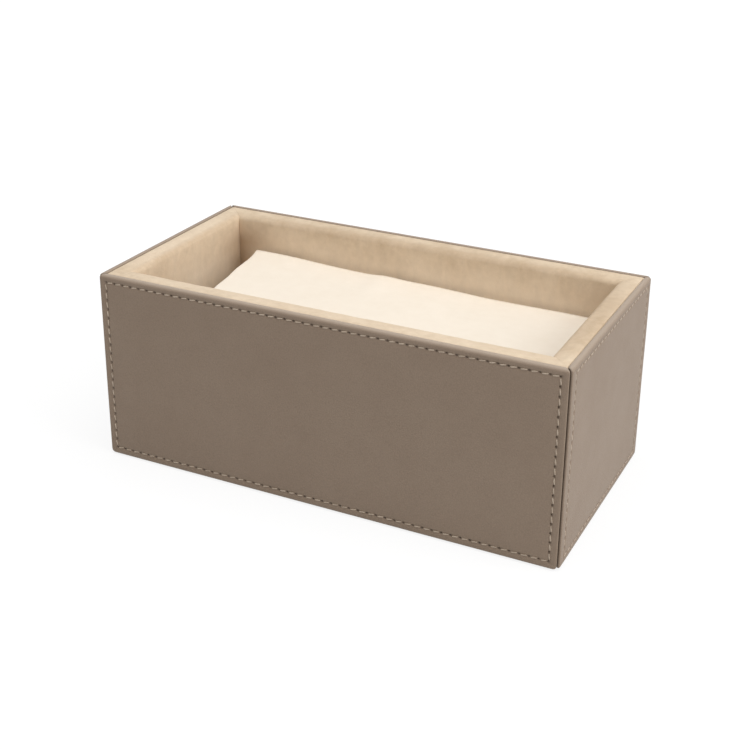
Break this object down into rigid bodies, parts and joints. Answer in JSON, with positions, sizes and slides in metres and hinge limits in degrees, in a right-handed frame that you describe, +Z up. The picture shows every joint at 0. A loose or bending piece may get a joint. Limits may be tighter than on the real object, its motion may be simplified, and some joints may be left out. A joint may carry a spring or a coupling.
{
  "type": "leather guest towel box",
  "caption": "Open rectangular box with stitched leather panels outside and a padded suede lining, holding folded guest towels that lift out.",
  "frame": {"origin": "on the ground, under the middle of the box", "axes": "+X along the length to the right, +Y from the front to the back, +Z up out of the open top"},
  "size_m": [0.2506, 0.1276, 0.102],
  "materials": {
    "leather": "satin",
    "thread": "matte",
    "card": "matte",
    "fibreboard": "matte",
    "steel": "satin",
    "foam": "matte",
    "suede": "matte",
    "felt": "matte",
    "towel": "matte"
  },
  "bodies": {
    "box": {"front_leather": "leather", "front_stitching": "thread", "front_board": "card", "core_front": "fibreboard", "front_rim_pad": "foam", "front_lining": "suede", "back_leather": "leather", "back_stitching": "thread", "back_board": "card", "core_back": "fibreboard", "back_rim_pad": "foam", "back_lining": "suede", "left_leather": "leather", "left_stitching": "thread", "left_board": "card", "core_left": "fibreboard", "left_rim_pad": "foam", "left_lining": "suede", "right_leather": "leather", "right_stitching": "thread", "right_board": "card", "core_right": "fibreboard", "right_rim_pad": "foam", "right_lining": "suede", "core_floor": "fibreboard", "core_brads": "steel", "floor_pad": "foam", "floor_lining": "suede", "base_cover": "felt"},
    "towel_pile": {"towel_1": "towel", "towel_2": "towel", "towel_3": "towel", "towel_4": "towel", "towel_5": "towel", "towel_6": "towel", "towel_7": "towel"},
    "top_towel": {"towel_8": "towel"}
  },
  "joints": [
    {"name": "towel_pile_lift", "type": "slide", "parent": "box", "child": "towel_pile", "axis": [0, 0, 1], "range_m": [0, 0.11]},
    {"name": "top_towel_lift", "type": "slide", "parent": "towel_pile", "child": "top_towel", "axis": [0, 0, 1], "range_m": [0, 0.05]}
  ]
}
